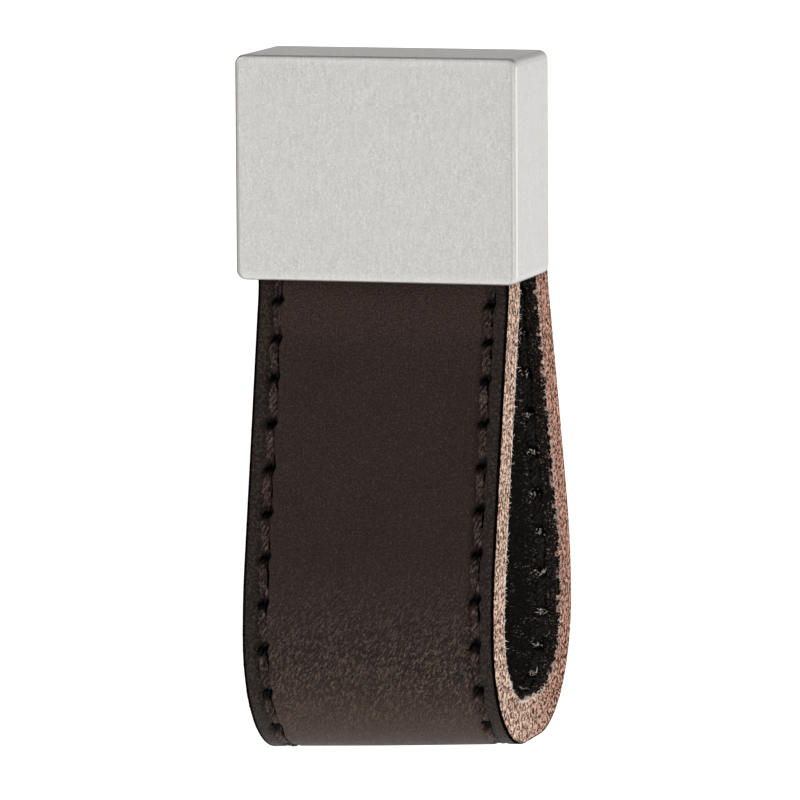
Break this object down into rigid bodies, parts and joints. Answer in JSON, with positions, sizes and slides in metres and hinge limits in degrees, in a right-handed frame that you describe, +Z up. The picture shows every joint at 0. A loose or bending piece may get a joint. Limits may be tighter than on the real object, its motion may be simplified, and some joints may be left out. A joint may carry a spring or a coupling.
{
  "type": "leather knob",
  "caption": "Stitched leather loop hanging from a satin metal block, held off the door by a turned post.",
  "frame": {"origin": "centre of the post's rear face, on the plane of the door or drawer front", "axes": "+Z up, +X to the right as seen from the front, -Y away from the door towards the person"},
  "size_m": [0.03, 0.0322, 0.0724],
  "materials": {
    "satin_metal": "fine vertical brushing, satin",
    "turned_metal": "turned, satin",
    "leather": "dark brown grain side, near-black flesh side, raw tan cut edges",
    "grain_thread": "waxed twisted thread, dark brown",
    "flesh_thread": "waxed twisted thread, near black"
  },
  "bodies": {
    "root": {"block": "satin_metal", "post": "turned_metal", "strap": "leather", "outer_thread_left": "grain_thread", "outer_thread_right": "grain_thread", "inner_thread_left": "flesh_thread", "inner_thread_right": "flesh_thread"}
  },
  "joints": []
}
